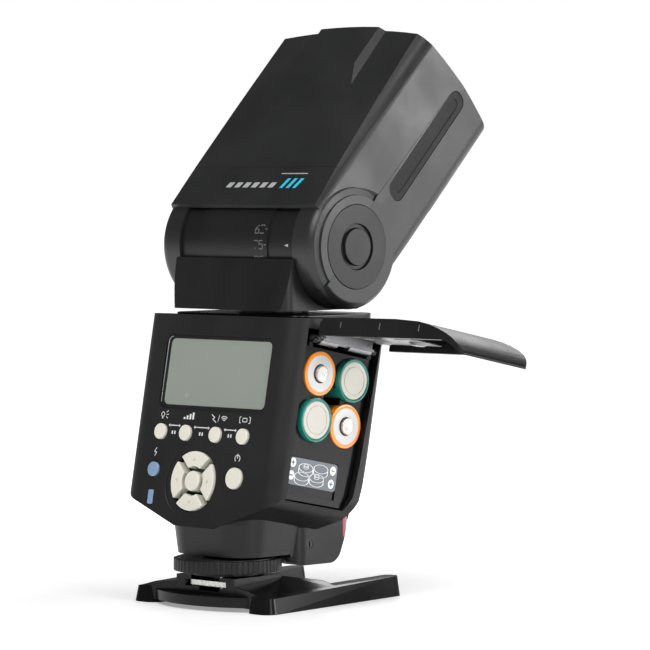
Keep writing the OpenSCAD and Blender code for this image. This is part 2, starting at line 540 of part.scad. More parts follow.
module pivot_caps() color([0.06, 0.06, 0.06]) headed() for (s = [-1, 1]) rotate([0, 90*s, 0]) difference() {
  union() {
    translate([0, 0, 34.3]) cylinder(r = 14, h = 1.9, $fn = 96);
    translate([0, 0, 34.3]) cylinder(r = 6.15, h = 2.3, $fn = 64);
  }
  translate([0, 0, 35.3]) difference() { cylinder(r = 7.6, h = 3, $fn = 64); translate([0, 0, -1]) cylinder(r = 6.15, h = 6, $fn = 64); }
}
module front_bezel() color([0.05, 0.05, 0.05]) headed() difference() {
  intersection() { head_solid(0); along_y(72.55, 120) rrect(-32.75, 32.75, -18.35, 23.55, 3.45); }
  along_y(70, 90) rrect(-30.5, 30.5, -15.2, 17.2, 2.5);
  along_y(70, 90) rrect(-28.2, 28.2, 18.6, 22.6, 0.6);
}
module fresnel_lens() color([0.8, 0.82, 0.84]) headed() union() {
  along_y(72.6, 75.2) rrect(-30.4, 30.4, -15.1, 17.1, 2.4);
  along_y(71.2, 72.5) rrect(-32, 32, -16.6, 18.2, 1);
}
module wide_panel() color([0.8, 0.82, 0.84]) headed() union() {
  along_y(42, 75) rrect(-27.4, 27.4, 18.9, 20.1, 0.4);
}
module bounce_card() color([0.93, 0.93, 0.92]) headed() union() {
  along_y(40, 74.6) rrect(-27.4, 27.4, 20.9, 21.5, 0.2);
  along_y(73.9, 75.6) rrect(-8, 8, 20.9, 22.2, 0.4);
}
module guide_rods() color([0.75, 0.75, 0.75]) headed() for (s = [-1, 1]) rod_y(s*29.6, -6, 1.2, 26.7, 70.6);
module zoom_motor() color([0.3, 0.3, 0.32]) headed() union() {
  bx([12, 26.8, -16], [22, 35.2, -11]);
}
module lead_screw() color([0.7, 0.7, 0.7]) headed() rod_y(17, -13.8, 1.2, 35.3, 70.4);
module zoom_carriage() color([0.08, 0.08, 0.08]) headed() difference() {
  union() {
    bx([-27.5, 46, -11.8], [27.5, 48, 15.5]);
    for (s = [-1, 1]) bx([s > 0 ? 26 : -31.8, 46, -8.4], [s > 0 ? 31.8 : -26, 56, -3.6]);
    bx([14.6, 46, -15.6], [19.4, 49, -11]);
  }
  bx([-23.5, 40, -8.5], [23.5, 60, 12.2]);
  for (s = [-1, 1]) rod_y(s*29.6, -6, 1.25, 40, 60);
  rod_y(17, -13.8, 1.5, 40, 60);
}
module reflector() color([0.85, 0.85, 0.86]) headed() difference() {
  intersection() {
    along_x(-25, 25) polygon(concat([[64, 14.6]], arc(60, 1.9, 15.2, 118, 242, 16), [[64, -10.8]]));
    along_y(40, 64) square([50, 60], center = true);
  }
  along_x(-24.2, 24.2) polygon(concat([[65, 13.8]], arc(60, 1.9, 14.4, 122, 238, 16), [[65, -10.0]]));
  bx([-30, 30, -30], [30, 48.05, 30]);
  rod_x(-30, 30, 53, 1.9, 2.1);
}
module xenon_tube() color([0.9, 0.92, 0.95]) headed() union() {
  rod_x(-26.5, 26.5, 53, 1.9, 1.8);
  rod_x(-29, -26.4, 53, 1.9, 0.8);
  rod_x(26.4, 29, 53, 1.9, 0.8);
}

stand();
foot_plate();
foot_pedestal();
centre_contact();
lock_pin();
clamp_plate();
lock_wheel();
base_housing();
sensor_window();
base_screws();
rear_housing();
front_housing();
top_plateau();
lcd_window();
lcd_module();
status_lamp();
control_board();
button_1();
button_2();
button_3();
button_4();
button_pilot();
button_power();
button_ok();
pad_up();
pad_down();
pad_left();
pad_right();
battery_cage();
battery_contacts();
cells_orange();
cells_green();
polarity_label();
hinge_pin();
door_bracket();
door_shell();
door_contacts();
main_capacitor();
power_board();
sync_socket();
port_cover();
pan_shaft();
neck_shell();
barrel();
tilt_axle();
head_upper();
head_top();
head_lower();
side_grips();
pivot_caps();
front_bezel();
fresnel_lens();
guide_rods();
zoom_motor();
lead_screw();
zoom_carriage();
reflector();
xenon_tube();
wide_panel();
bounce_card();
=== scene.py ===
# Looks for the speedlight flash on its mini stand, in the shared frame of the CAD model.
# Blender works in metres. Outlines and sizes below are in mm, and MM turns them into metres.
import bpy, bmesh, json, math
from mathutils import Vector, Matrix


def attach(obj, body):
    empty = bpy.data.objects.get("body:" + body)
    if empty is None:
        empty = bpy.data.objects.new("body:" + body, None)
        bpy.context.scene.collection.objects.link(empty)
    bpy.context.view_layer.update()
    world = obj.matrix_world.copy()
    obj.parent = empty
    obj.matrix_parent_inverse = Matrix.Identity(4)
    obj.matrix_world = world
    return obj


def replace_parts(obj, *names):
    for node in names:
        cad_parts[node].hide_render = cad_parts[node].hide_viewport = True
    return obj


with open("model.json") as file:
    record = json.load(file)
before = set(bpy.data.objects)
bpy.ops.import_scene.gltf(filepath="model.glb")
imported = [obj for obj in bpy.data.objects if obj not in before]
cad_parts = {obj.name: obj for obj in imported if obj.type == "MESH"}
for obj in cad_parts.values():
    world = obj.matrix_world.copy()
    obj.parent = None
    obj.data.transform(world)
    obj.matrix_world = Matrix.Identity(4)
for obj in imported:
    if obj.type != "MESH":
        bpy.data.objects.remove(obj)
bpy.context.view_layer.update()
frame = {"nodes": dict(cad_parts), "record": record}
MM = 0.001

# ------------------------------------------------------------------ driving sizes, as in part.scad
LEAN = math.radians(11)          # forward lean of the body
LEAN_Z = 97.5                    # height of the origin of the leaning frame
TILT = math.radians(45)          # angle of the head above the horizon
TILT_Y, TILT_Z = 24.4, 119.0     # the tilt axis
BARREL_R = 20.0                  # radius of the barrel round the tilt axis
PANEL_Y = -23.0                  # plane of the control panel, in the leaning frame
PAD_U, PAD_V = -6.0, -61.5       # centre of the control pad on the panel
CELL_PITCH = 15.3                # distance between neighbouring cells
CELL_BODY = 49.3                 # length of a cell without its cap
LABEL_X = 31.25                  # plane of the polarity label, in the leaning frame


# ------------------------------------------------------------------ frames
def placer(height, angle):
    """A function from mm in a frame turned about X, at this height, to mm in the row frame."""
    turn = Matrix.Rotation(angle, 3, "X")
    origin = Vector((0, TILT_Y, height))

    def place(x, y, z):
        return turn @ Vector((x, y, z)) + origin
    return place


body_at = placer(LEAN_Z, -LEAN)
head_at = placer(TILT_Z, TILT)


# ------------------------------------------------------------------ shader helpers
def new_mat(name):
    """A material with its node tree and its main shader."""
    m = bpy.data.materials.new(name)
    m.use_nodes = True
    return m, m.node_tree, m.node_tree.nodes["Principled BSDF"]


def ramp(nt, fac, lo, hi, p0=0.3, p1=0.7):
    """Take fac from p0..p1 to lo..hi."""
    r = nt.nodes.new("ShaderNodeMapRange")
    for key, value in (("From Min", p0), ("From Max", p1), ("To Min", lo), ("To Max", hi)):
        r.inputs[key].default_value = value
    nt.links.new(fac, r.inputs["Value"])
    return r.outputs["Result"]


def noise(nt, scale, detail=3.0, rough=0.55):
    tc = nt.nodes.new("ShaderNodeTexCoord")
    n = nt.nodes.new("ShaderNodeTexNoise")
    n.inputs["Scale"].default_value = scale
    n.inputs["Detail"].default_value = detail
    n.inputs["Roughness"].default_value = rough
    nt.links.new(tc.outputs["Object"], n.inputs["Vector"])
    return n.outputs["Fac"]


def colour_mix(nt, fac, a, b):
    m = nt.nodes.new("ShaderNodeMix")
    m.data_type = "RGBA"
    m.inputs["A"].default_value = (*a, 1)
    m.inputs["B"].default_value = (*b, 1)
    nt.links.new(fac, m.inputs["Factor"])
    return m.outputs["Result"]


def bump(nt, shader, height, strength, depth):
    """Relief of the given depth in mm."""
    n = nt.nodes.new("ShaderNodeBump")
    n.inputs["Strength"].default_value = strength
    n.inputs["Distance"].default_value = depth * MM
    nt.links.new(height, n.inputs["Height"])
    nt.links.new(n.outputs["Normal"], shader.inputs["Normal"])


def scaled(col, factor):
    return tuple(min(1, c * factor) for c in col)


def plastic(name, col, rough, var=0.25, grain=2200, depth=0.03, strength=0.35,
            spread=0.07, coat=0.0, spec=0.5):
    """Plastic with uneven colour and gloss and a fine grain."""
    m, nt, shader = new_mat(name)
    big = noise(nt, 45, 4)
    fine = noise(nt, grain, 2, 0.6)
    mixed = colour_mix(nt, big, scaled(col, 1 - var), scaled(col, 1 + var))
    nt.links.new(mixed, shader.inputs["Base Color"])
    nt.links.new(ramp(nt, big, rough - spread, rough + spread), shader.inputs["Roughness"])
    shader.inputs["Specular IOR Level"].default_value = spec
    bump(nt, shader, fine, strength, depth)
    if coat:
        shader.inputs["Coat Weight"].default_value = coat
        shader.inputs["Coat Roughness"].default_value = 0.08
    return m


def metal(name, col, rough, scale=900, strength=0.08):
    """Bare metal with fine marks in its gloss."""
    m, nt, shader = new_mat(name)
    fine = noise(nt, scale, 4, 0.5)
    mixed = colour_mix(nt, noise(nt, 60, 3), scaled(col, 0.9), scaled(col, 1.05))
    shader.inputs["Metallic"].default_value = 1
    nt.links.new(mixed, shader.inputs["Base Color"])
    nt.links.new(ramp(nt, fine, rough * 0.75, rough * 1.3), shader.inputs["Roughness"])
    bump(nt, shader, fine, strength, 0.05)
    return m


def clear(name, col, rough):
    """Clear acrylic or glass."""
    m, nt, shader = new_mat(name)
    mixed = colour_mix(nt, noise(nt, 80, 2), scaled(col, 0.95), col)
    nt.links.new(mixed, shader.inputs["Base Color"])
    shader.inputs["Transmission Weight"].default_value = 1.0
    shader.inputs["IOR"].default_value = 1.49
    nt.links.new(ramp(nt, noise(nt, 300, 3), rough * 0.7, rough * 1.4), shader.inputs["Roughness"])
    return m


# ------------------------------------------------------------------ materials
PLASTICS = {
    # moulded blacks, which shine less than clear plastic does
    "black_satin": dict(col=(0.008, 0.008, 0.0085), rough=0.38, spec=0.3,
                        grain=3200, depth=0.04, strength=0.5),
    "shell_side": dict(col=(0.0115, 0.0117, 0.0122), rough=0.39, spec=0.46,
                       grain=2600, depth=0.05, strength=0.6),
    "panel_black": dict(col=(0.009, 0.009, 0.0095), rough=0.45, spec=0.3,
                        grain=2600, depth=0.05, strength=0.6),
    "black_gloss": dict(col=(0.009, 0.009, 0.0095), rough=0.22, spec=0.4,
                        grain=1500, depth=0.01, strength=0.15, spread=0.04),
    "stand_gloss": dict(col=(0.005, 0.005, 0.0055), rough=0.2, spec=0.22,
                        grain=900, depth=0.02, strength=0.15, spread=0.04),
    "black_soft": dict(col=(0.02, 0.02, 0.02), rough=0.62, spec=0.2,
                       grain=1800, depth=0.05, strength=0.5),
    # keys, lamps and the display
    "ivory": dict(col=(0.64, 0.62, 0.54), rough=0.42, var=0.04,
                  grain=2500, depth=0.02, strength=0.25),
    "lamp_blue": dict(col=(0.20, 0.30, 0.44), rough=0.2, var=0.12, coat=0.5,
                      grain=700, depth=0.01, strength=0.1),
    "lcd_grey": dict(col=(0.235, 0.26, 0.225), rough=0.22, var=0.03, coat=1.0,
                     grain=600, depth=0.003, strength=0.05),
    "lcd_cell": dict(col=(0.22, 0.24, 0.21), rough=0.6, var=0.05),
    "red_window": dict(col=(0.30, 0.004, 0.02), rough=0.12, var=0.1, coat=0.6,
                       grain=500, depth=0.01, strength=0.05),
    # electronics
    "board_green": dict(col=(0.012, 0.10, 0.045), rough=0.35,
                        grain=700, depth=0.04, strength=0.3),
    "capacitor_blue": dict(col=(0.01, 0.02, 0.10), rough=0.25, var=0.1),
    # cells and their label
    "orange_cell": dict(col=(0.84, 0.25, 0.005), rough=0.28, var=0.05, coat=0.5,
                        grain=400, depth=0.02, strength=0.08),
    "green_cell": dict(col=(0.006, 0.17, 0.135), rough=0.26, var=0.06, coat=0.5,
                       grain=400, depth=0.02, strength=0.08),
    "cell_cream": dict(col=(0.52, 0.50, 0.44), rough=0.36, var=0.05,
                       grain=1200, depth=0.02, strength=0.2),
    "cell_white": dict(col=(0.60, 0.61, 0.60), rough=0.4, var=0.04),
    "label_grey": dict(col=(0.13, 0.145, 0.165), rough=0.35, var=0.05,
                       grain=900, depth=0.01, strength=0.1),
    # the bounce card and printed marks
    "white_card": dict(col=(0.85, 0.85, 0.83), rough=0.5, var=0.03),
    "print_white": dict(col=(0.62, 0.63, 0.62), rough=0.5, var=0.05),
    "print_grey": dict(col=(0.33, 0.33, 0.34), rough=0.45, var=0.08),
    "print_dim": dict(col=(0.11, 0.11, 0.112), rough=0.5, var=0.1),
    "print_cyan": dict(col=(0.02, 0.45, 0.62), rough=0.4, var=0.05),
    "print_warm": dict(col=(0.50, 0.47, 0.38), rough=0.5, var=0.06),
    "print_bright": dict(col=(0.83, 0.84, 0.84), rough=0.45, var=0.03),
}
METALS = {
    "steel": dict(col=(0.72, 0.72, 0.70), rough=0.26),
    "steel_dark": dict(col=(0.30, 0.30, 0.31), rough=0.34),
    "screw_black": dict(col=(0.05, 0.05, 0.052), rough=0.4),
    "brass": dict(col=(0.80, 0.62, 0.30), rough=0.25),
    "mirror_alu": dict(col=(0.88, 0.88, 0.89), rough=0.1, strength=0.03),
    "cell_metal": dict(col=(0.46, 0.455, 0.44), rough=0.3, scale=500, strength=0.1),
}
GLASSES = {
    "clear": dict(col=(0.93, 0.95, 0.96), rough=0.06),
    "tube_glass": dict(col=(0.95, 0.97, 1.0), rough=0.04),
}
M = {name: plastic(name, **look) for name, look in PLASTICS.items()}
M.update({name: metal(name, **look) for name, look in METALS.items()})
M.update({name: clear(name, **look) for name, look in GLASSES.items()})


# ------------------------------------------------------------------ mesh helpers
def obj_from(name, bm, mat, smooth=True, angle=35):
    """An object from a bmesh, sharp where its faces meet at more than angle degrees."""
    me = bpy.data.meshes.new(name)
    bm.normal_update()
    for e in bm.edges:
        e.smooth = not (len(e.link_faces) == 2 and e.calc_face_angle(0) > math.radians(angle))
    for f in bm.faces:
        f.smooth = smooth
    bm.to_mesh(me)
    bm.free()
    o = bpy.data.objects.new(name, me)
    bpy.context.scene.collection.objects.link(o)
    me.materials.append(mat)
    return o


def add_piece(o, body):
    """Say which body a fine piece rides on."""
    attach(o, body)
    return o


def join_rows(bm, rows):
    """Quads between closed rings of as many points each."""
    for q0, q1 in zip(rows, rows[1:]):
        n = len(q0)
        for k in range(n):
            bm.faces.new((q0[k], q0[(k + 1) % n], q1[(k + 1) % n], q1[k]))


MERGE = 0.002          # mm between points that are one
SLIVER = 0.001         # mm of an edge that is dropped
FLAT = 1.2             # degrees up to which neighbouring faces are one
SHARP = 32             # degrees from which an edge is rounded


def remake(node, mat, body, width):
    """A copy of a CAD node with its edges rounded by width mm, which stands for it."""
    src = frame["nodes"][node].data
    bm = bmesh.new()
    verts = [bm.verts.new(v.co) for v in src.vertices]
    for p in src.polygons:
        try:
            bm.faces.new([verts[i] for i in p.vertices])
        except ValueError:
            pass    # the face is there already
    bmesh.ops.remove_doubles(bm, verts=bm.verts, dist=MERGE * MM)
    bmesh.ops.dissolve_degenerate(bm, dist=SLIVER * MM, edges=bm.edges)
    bmesh.ops.dissolve_limit(bm, angle_limit=math.radians(FLAT), verts=bm.verts, edges=bm.edges)
    bm.normal_update()
    paired = [e for e in bm.edges if len(e.link_faces) == 2]
    edges = [e for e in paired if abs(e.calc_face_angle(0)) > math.radians(SHARP)]
    if edges:
        bmesh.ops.bevel(bm, geom=edges, offset=width * MM, offset_type="OFFSET", segments=3,
                        profile=0.5, affect="EDGES", clamp_overlap=True, loop_slide=True)
    o = obj_from(node + "_skin", bm, mat)
    normals = o.modifiers.new("normals", "WEIGHTED_NORMAL")
    normals.keep_sharp = True
    normals.weight = 80
    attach(o, body)
    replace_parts(o, node)
    return o


# ------------------------------------------------------------------ CAD nodes
BODY = {n: b for b, ns in frame["record"]["behaviour"]["bodies"].items() for n in ns}
SLOT = {s["node"]: s["material_slot"] for s in frame["record"]["subparts"]}
# edge radii in mm of the nodes that get rounded edges
ROUND = {
    "stand": 0.9, "foot_plate": 0.25, "foot_pedestal": 0.2, "clamp_plate": 0.2, "lock_wheel": 0.18,
    "lock_pin": 0.2, "base_housing": 0.8, "sensor_window": 0.3, "rear_housing": 0.7,
    "front_housing": 0.8, "top_plateau": 0.5, "lcd_window": 0.15, "status_lamp": 0.2,
    "button_1": 0.35, "button_2": 0.35, "button_3": 0.35, "button_4": 0.35,
    "button_pilot": 0.35, "button_power": 0.4, "button_ok": 0.5,
    "pad_up": 0.45, "pad_down": 0.45, "pad_left": 0.45, "pad_right": 0.45,
    "battery_cage": 0.25, "door_shell": 0.45, "door_bracket": 0.12, "door_contacts": 0.12,
    "port_cover": 0.25, "neck_shell": 0.8, "barrel": 0.12,
    "head_upper": 0.5, "head_top": 0.25, "head_lower": 0.5, "front_bezel": 0.5,
    "side_grips": 0.3, "pivot_caps": 0.25, "wide_panel": 0.2, "bounce_card": 0.1,
}
# looks that differ from the one named like the node's slot
LOOK = {
    "head_upper": "shell_side", "head_lower": "shell_side", "head_top": "shell_side",
    "rear_housing": "panel_black", "stand": "stand_gloss", "battery_cage": "stand_gloss",
    "base_screws": "screw_black", "hinge_pin": "steel_dark",
    "door_bracket": "steel_dark", "door_contacts": "steel_dark",
}
MATS = {n: M[LOOK.get(n, s)] for n, s in SLOT.items()}
for n, o in frame["nodes"].items():
    o.data.materials.clear()
    o.data.materials.append(MATS[n])
    if n in ROUND:
        skin = remake(n, MATS[n], BODY[n], ROUND[n])


# ------------------------------------------------------------------ outlines in a plane
def seg(u0, v0, u1, v1, w=0.3):
    """A straight stroke, w wide."""
    d = Vector((u1 - u0, v1 - v0)).normalized()
    n = Vector((-d.y, d.x)) * w / 2
    return [(u0 + n.x, v0 + n.y), (u0 - n.x, v0 - n.y), (u1 - n.x, v1 - n.y), (u1 + n.x, v1 + n.y)]


def path(pts, w=0.3, close=False):
    """Strokes from point to point."""
    q = pts + pts[:1] if close else pts
    return [seg(*q[i], *q[i + 1], w) for i in range(len(q) - 1)]


def circle(cu, cv, r, a0=0, a1=360, n=24, sv=1.0):
    """Points of an arc from a0 to a1 degrees, stretched by sv along v."""
    angles = [math.radians(a0 + (a1 - a0) * i / n) for i in range(n + 1)]
    return [(cu + r * math.cos(a), cv + sv * r * math.sin(a)) for a in angles]


def ring(cu, cv, r, w=0.3, a0=0, a1=360, n=24, sv=1.0):
    """A round stroke, w wide."""
    a = circle(cu, cv, r + w / 2, a0, a1, n, sv)
    b = circle(cu, cv, r - w / 2, a0, a1, n, sv)
    return [[a[i], a[i + 1], b[i + 1], b[i]] for i in range(n)]


def rect(u0, v0, u1, v1):
    return [[(u0, v0), (u1, v0), (u1, v1), (u0, v1)]]


def slant(u, v0, v1, width, lean):
    """A bar whose top lies lean mm beside its foot."""
    return [(u, v0), (u + width, v0), (u + width + lean, v1), (u + lean, v1)]


def arrow2(u0, u1, v):
    """A line with a head at both ends."""
    high = 0.55
    long = high * 1.2
    return [seg(u0 + 0.5, v, u1 - 0.5, v),
            [(u0, v), (u0 + long, v + high), (u0 + long, v - high)],
            [(u1, v), (u1 - long, v - high), (u1 - long, v + high)]]


# ------------------------------------------------------------------ builders of fine pieces
def inlay(name, shapes, place, w0, w1, look, body):
    """Thin printed or inlaid shapes: convex outlines, solid from height w0 to w1."""
    bm = bmesh.new()
    for pts in shapes:
        lo = [bm.verts.new(place(u, v, w0) * MM) for u, v in pts]
        hi = [bm.verts.new(place(u, v, w1) * MM) for u, v in pts]
        bm.faces.new(hi)
        bm.faces.new(lo[::-1])
        join_rows(bm, [lo, hi])
    bmesh.ops.recalc_face_normals(bm, faces=bm.faces)
    return add_piece(obj_from(name, bm, M[look], smooth=False), body)


def tube(name, pts, r, look, body, sides=8, taper=None):
    """A round bar along points; taper gives the share of r at 0..1 of the way."""
    bm = bmesh.new()
    pts = [Vector(p) for p in pts]
    angles = [2 * math.pi * k / sides for k in range(sides)]
    last = len(pts) - 1
    rows, across = [], None
    for i, p in enumerate(pts):
        along = (pts[min(i + 1, last)] - pts[max(i - 1, 0)]).normalized()
        across = along.orthogonal() if across is None else across - along * across.dot(along)
        across = across.normalized()
        third = along.cross(across)
        radius = r * taper(i / last) if taper else r
        spokes = [across * math.cos(t) + third * math.sin(t) for t in angles]
        rows.append([bm.verts.new((p + spoke * radius) * MM) for spoke in spokes])
    join_rows(bm, rows)
    bm.faces.new(rows[0][::-1])
    bm.faces.new(rows[-1])
    bmesh.ops.recalc_face_normals(bm, faces=bm.faces)
    return add_piece(obj_from(name, bm, M[look]), body)


def lathe(name, profile, place, look, body, n=48):
    """Turn (radius, height) points about the local Z of place(x, y, z)."""
    bm = bmesh.new()
    angles = [2 * math.pi * k / n for k in range(n)]
    rows = []
    for r, h in profile:
        ends = [(r * math.cos(a), r * math.sin(a)) for a in angles] if r else [(0, 0)]
        rows.append([bm.verts.new(place(x, y, h) * MM) for x, y in ends])
    for q0, q1 in zip(rows, rows[1:]):
        for k in range(n):
            f = [q0[k % len(q0)], q0[(k + 1) % len(q0)], q1[(k + 1) % len(q1)], q1[k % len(q1)]]
            f = [v for i, v in enumerate(f) if v not in f[:i]]
            if len(f) > 2:
                bm.faces.new(f)
    bmesh.ops.recalc_face_normals(bm, faces=bm.faces)
    return add_piece(obj_from(name, bm, M[look], angle=30), body)


# ------------------------------------------------------------------ generic marks on the panel
def panel(u, v, w):
    return body_at(u, PANEL_Y - w, v)


# a lamp with three rays
marks = ring(-24.6, -39.9, 0.75, 0.22, n=16) + [seg(-24.6, -41.3, -24.6, -40.8, 0.5)]
marks += [seg(-23.0, -39.2, -22.2, -38.6, 0.22), seg(-22.9, -39.9, -21.9, -39.9, 0.22),
          seg(-23.0, -40.6, -22.2, -41.2, 0.22)]
# four bars that grow
for i in range(4):
    marks += rect(-14.6 + i * 1.35, -41.1, -13.8 + i * 1.35, -40.4 + i * 0.55)
# a bolt and a slash
marks += path([(-1.6, -39.0), (0.0, -40.0), (-1.0, -40.5), (0.8, -41.6)], 0.28)
marks += [seg(1.6, -41.4, 2.1, -39.0, 0.2)]
# waves
for r in (0.7, 1.3, 1.9):
    marks += ring(4.4, -41.3, r, 0.24, 45, 135, 8)
# a frame between two brackets
marks += path([(12.2, -39.2), (11.6, -39.2), (11.6, -41.2), (12.2, -41.2)], 0.24)
marks += path([(13.0, -39.6), (14.9, -39.6), (14.9, -40.8), (13.0, -40.8)], 0.24, True)
marks += path([(15.8, -39.2), (16.4, -39.2), (16.4, -41.2), (15.8, -41.2)], 0.24)
# double arrows and pairs of bars between the function buttons
marks += arrow2(-21.2, -15.6, -43.4) + arrow2(-9.2, -1.8, -43.6) + arrow2(4.9, 10.8, -43.8)
for u in (-18.5, -5.5, 7.9):
    marks += rect(u - 0.9, -46.3, u - 0.3, -45.2) + rect(u + 0.3, -46.3, u + 0.9, -45.2)
# a bolt beside the pilot button and a power sign beside the power button
marks += path([(-25.4, -51.2), (-26.3, -52.7), (-25.2, -52.7), (-26.0, -54.0)], 0.26)
marks += ring(12.9, -53.0, 1.15, 0.26, -50, 230, 20) + [seg(12.9, -53.0, 12.9, -51.4, 0.28)]
inlay("panel_marks", marks, panel, -0.02, 0.02, "print_white", "chassis")


# ------------------------------------------------------------------ arrows on the pad keys
KEY_R = 7.1          # distance of an arrow from the centre of the pad
KEY_RISE = 0.9       # height of the keys above the panel


def key_face(u, v, w):
    return panel(u, v, KEY_RISE + w)


def key_arrow(du, dv):
    """An arrow on the key that lies towards (du, dv)."""
    cu, cv = PAD_U + KEY_R * du, PAD_V + KEY_R * dv
    corners = ((0.75, 0), (-0.45, 0.8), (-0.45, -0.8))
    return [(cu + a * du + s * dv, cv + a * dv - s * du) for a, s in corners]


for key, way in {"up": (0, 1), "down": (0, -1), "left": (-1, 0), "right": (1, 0)}.items():
    inlay("pad_%s_mark" % key, [key_arrow(*way)], key_face, -0.02, 0.015, "print_warm",
          "b_pad_" + key)


# ------------------------------------------------------------------ raised edges on the panel
def lip_point(deg):
    """A point of the pad's raised edge, which swings out towards its lower end."""
    half_u = 12.9 + 1.5 * max(0, (deg - 180) / 60)
    half_v = 12.3
    a = math.radians(deg)
    return panel(PAD_U + half_u * math.cos(a), PAD_V + half_v * math.sin(a), 0)


tube("pad_lip", [lip_point(deg) for deg in range(112, 246, 6)], 0.34, "panel_black", "chassis",
     taper=lambda t: 0.35 + 0.65 * math.sin(math.pi * t))
DISPLAY_EDGE = [(-26.9, -35.6), (-27.0, -34.6), (-27.0, -15.6), (-26.8, -14.4), (-26.0, -13.6),
                (-25.0, -13.3)]
DISPLAY_SINK = 0.55    # depth of the display's edge below the panel
tube("display_bezel", [panel(u, v, -DISPLAY_SINK) for u, v in DISPLAY_EDGE], 0.2, "steel_dark",
     "chassis")
LAMP_EDGE = [(-27.2, -70.0), (-27.3, -67.8), (-27.2, -65.0)]
tube("lamp_bezel", [panel(u, v, 0) for u, v in LAMP_EDGE], 0.16, "panel_black", "chassis")


# ------------------------------------------------------------------ ends of the cells
BAY_Y, BAY_Z = -1.4, -29.7                  # middle of the four cells, in the leaning frame
CELL_FOOT = {"cap": -17.6, "base": -16.6}   # inner end of a cell, by the end that shows
# name, look, slot and turned profile of what shows of a cell
CELL_PARTS = {
    "cap": (
        ("washer", "cell_white", "ivory",
         [(6.0, 0.0), (6.0, 0.12), (5.85, 0.16), (3.0, 0.16), (2.9, 0.05)]),
        ("cap", "cell_metal", "steel",
         [(2.78, 0.0), (2.78, 1.0), (2.6, 1.24), (2.3, 1.32), (1.9, 1.27), (0, 1.29)]),
        ("seal", "black_soft", "black_soft", [(3.15, 0.05), (3.15, 0.19), (2.79, 0.19)]),
        ("sleeve", "orange_cell", "orange_cell",
         [(7.27, -3.0), (7.27, -0.25), (7.1, 0.05), (6.7, 0.12), (6.0, 0.1)]),
    ),
    "base": (
        ("base", "cell_cream", "steel",
         [(6.2, 0.05), (6.1, 0.2), (4.95, 0.22), (4.85, 0.04), (4.6, 0.04), (4.5, 0.24),
          (2.0, 0.27), (0, 0.27)]),
        ("wrap", "green_cell", "green_cell",
         [(7.27, -3.0), (7.27, -0.1), (7.15, 0.25), (6.85, 0.34), (6.35, 0.2), (6.2, 0.05)]),
    ),
}


def cell_end(end, i, j):
    """The frame of a cell's visible end, with its local Z out of the bay."""
    x0 = CELL_FOOT[end] + CELL_BODY
    y0, z0 = BAY_Y + i * CELL_PITCH / 2, BAY_Z + j * CELL_PITCH / 2

    def place(x, y, z):
        return body_at(x0 + z, y0 + x, z0 + y)
    return place


for i, j, end in ((-1, 1, "cap"), (1, 1, "base"), (-1, -1, "base"), (1, -1, "cap")):
    tag = ("a" if i < 0 else "b") + ("t" if j > 0 else "u")
    for part, look, slot, profile in CELL_PARTS[end]:
        lathe("cell_%s_%s" % (part, tag), profile, cell_end(end, i, j), look, "chassis")


# ------------------------------------------------------------------ polarity label
def label(u, v, w):
    return body_at(LABEL_X + w, u, v)


def label_drawing(u, v, w):
    """The drawing lies a little off the middle of the label."""
    return label(u - 0.9, v, w)


OVAL = 0.42                    # height of a drawn cell's oval end, as a share of its width
CAN_R, CAN_L = 3.35, 1.4       # half width and side length of a drawn cell
# drawn cells, and whether each shows its cap; discs, and whether each is a plus
CANS = ((-8.5, -53.3, True), (-1.4, -52.8, False), (-10.0, -56.3, False), (-2.9, -56.0, True))
DISCS = ((-14.8, -52.2, True), (-15.0, -56.4, False), (4.4, -52.6, False), (4.2, -57.0, True))

lines = []
for cu, cv, capped in CANS:
    lines += ring(cu, cv, CAN_R, n=28, sv=OVAL) + ring(cu, cv - CAN_L, CAN_R, 0.3, 180, 360, 14, OVAL)
    lines += [seg(u, cv, u, cv - CAN_L) for u in (cu - CAN_R, cu + CAN_R)]
    if capped:
        lines += ring(cu, cv + 0.1, 1.1, 0.28, n=16, sv=OVAL) + ring(cu, cv + 0.7, 1.1, 0.28, n=16, sv=OVAL)
discs, signs = [], []
for cu, cv, plus in DISCS:
    lines += ring(cu, cv, 0.95, 0.85, n=20, sv=1.12)
    discs += [circle(cu, cv, 1.2, n=20, sv=1.12)[:-1]]
    signs += [seg(cu - 0.8, cv, cu + 0.8, cv, 0.42)]
    if plus:
        signs += [seg(cu, cv - 0.8, cu, cv + 0.8, 0.42)]
inlay("polarity_lines", lines, label_drawing, -0.02, 0.03, "print_bright", "chassis")
inlay("polarity_discs", discs, label_drawing, -0.02, 0.02, "print_bright", "chassis")
inlay("polarity_signs", signs, label_drawing, 0.0, 0.05, "label_grey", "chassis")

# the plate under the drawing, with round corners
plate = []
for cu, cv, a0 in ((4.4, -51.6, 0), (-15.9, -51.6, 90), (-15.9, -58.2, 180), (4.4, -58.2, 270)):
    plate += circle(cu, cv, 1.2, a0, a0 + 90, 8)
plate_obj = inlay("label_plate", [plate], label, -0.5, 0.0, "label_grey", "chassis")
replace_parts(plate_obj, "polarity_label")

# ------------------------------------------------------------------ red cover of the sensor
BASE_FRONT = ((21.5, 36.3), (26.9, 38.4), (32.0, 40.6))     # (z, y) where the base's front bends
COVER_Z = (21.5, 24.2, 26.9, 29.4)                          # heights of the cover's rows
COVER_HALF = 18.4                                           # half width of its front
WRAP_Y = 35.0                                               # where it ends on the sides
CORNER_X, CORNER_Y, CORNER_R = 13.4, 34.8, 6.0              # round corner of the base


def base_front(z):
    """Where the sloping front of the base lies at height z."""
    (z0, y0), (z1, y1) = BASE_FRONT[:2] if z < BASE_FRONT[1][0] else BASE_FRONT[1:]
    return y0 + (z - z0) * (y1 - y0) / (z1 - z0)


